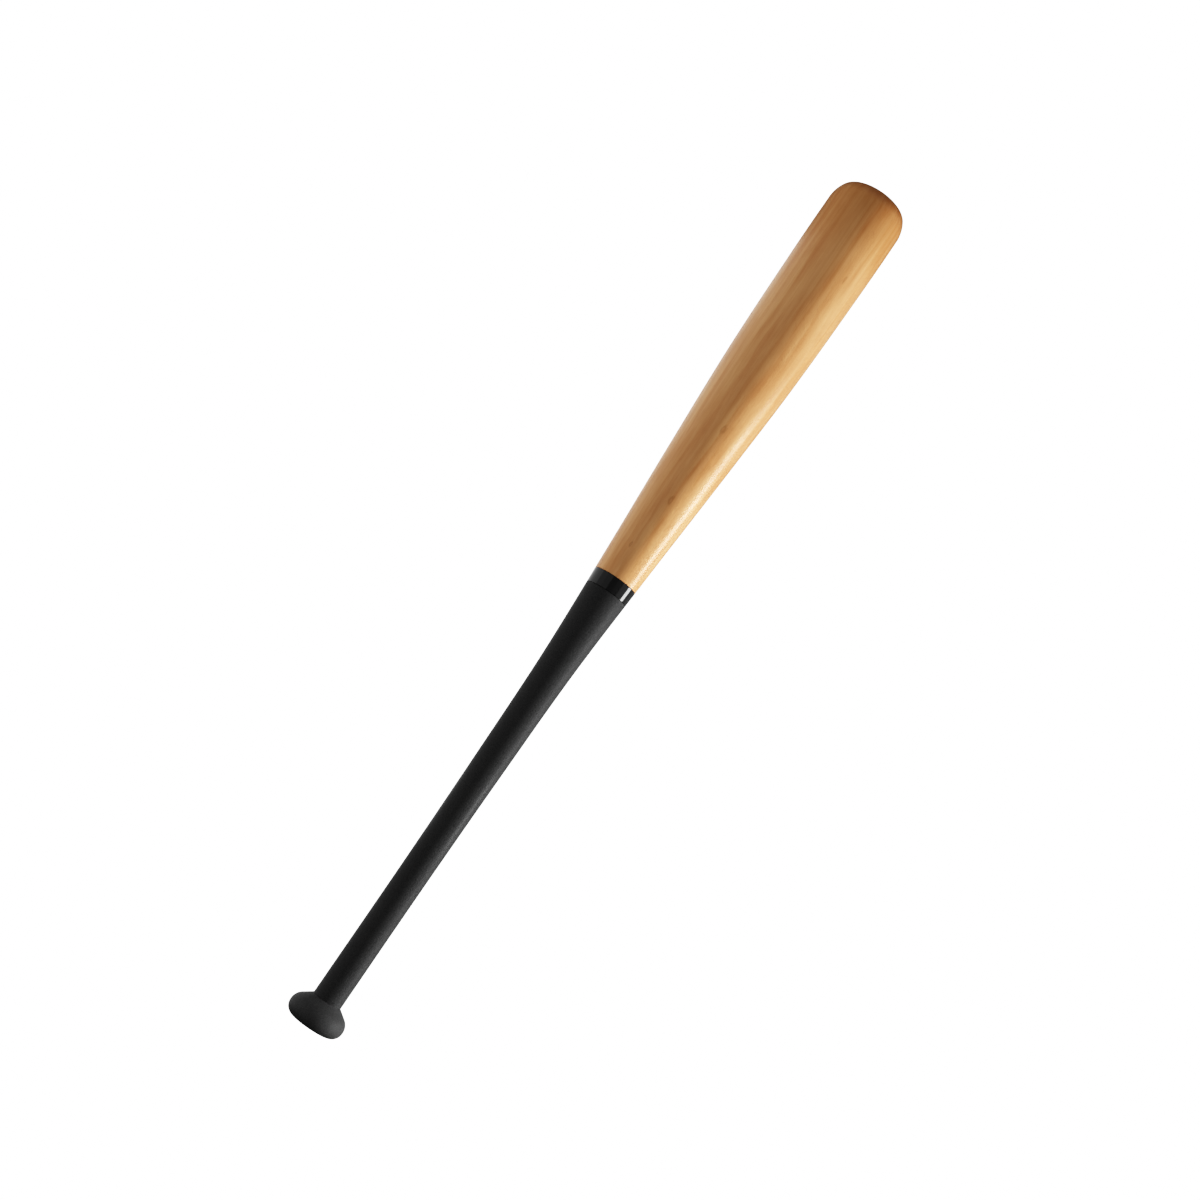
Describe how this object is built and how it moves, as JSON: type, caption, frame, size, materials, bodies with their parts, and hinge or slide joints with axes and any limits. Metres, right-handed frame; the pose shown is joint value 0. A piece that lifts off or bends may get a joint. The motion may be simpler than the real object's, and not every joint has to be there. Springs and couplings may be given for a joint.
{
  "type": "baseball bat",
  "caption": "Baseball bat with a turned natural-wood barrel joined through a gloss black ring to a matte black tubular handle and round knob.",
  "frame": {"origin": "centre of the knob's flat end, which is the lowest point of the bat", "axes": "+Z along the bat's axis, from the knob to the barrel's tip; X and Y are any two directions across it, as every piece is turned on the axis"},
  "size_m": [0.068, 0.068, 0.813],
  "materials": {
    "lacquered_wood": "gloss",
    "gloss_ring": "gloss",
    "bonding_elastomer": "matte",
    "matte_handle": "matte",
    "foam_core": "matte",
    "matte_knob": "matte",
    "matte_plug": "matte"
  },
  "bodies": {
    "root": {"barrel": "lacquered_wood", "joint_collar": "gloss_ring", "tenon_sleeve": "bonding_elastomer", "handle_tube": "matte_handle", "handle_core": "foam_core", "knob": "matte_knob", "knob_plug": "matte_plug"}
  },
  "joints": []
}
